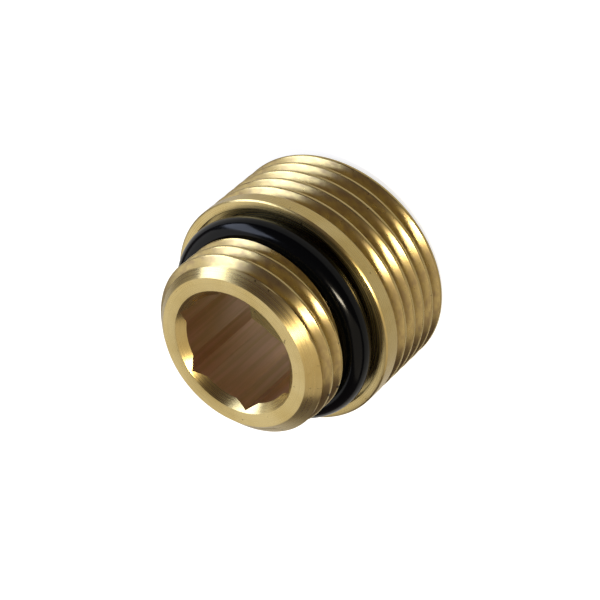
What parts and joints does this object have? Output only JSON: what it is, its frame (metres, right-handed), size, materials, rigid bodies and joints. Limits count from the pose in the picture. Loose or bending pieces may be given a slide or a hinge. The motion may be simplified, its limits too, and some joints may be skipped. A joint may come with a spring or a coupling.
{
  "type": "radiator adapter",
  "caption": "Turned brass nipple with a male pipe thread on either end, a hexagon socket for a key and a rubber sealing ring behind the smaller thread; joins a valve to a radiator.",
  "frame": {"origin": "centre of the valve end's face, on the floor", "axes": "+Z along the axis towards the radiator end; two of the hexagon's flats face +X and -X"},
  "size_m": [0.0264, 0.0264, 0.0205],
  "materials": {
    "brass": "turned, bare",
    "rubber": "moulded, satin"
  },
  "bodies": {
    "root": {"adapter_body": "brass", "o_ring": "rubber"}
  },
  "joints": []
}
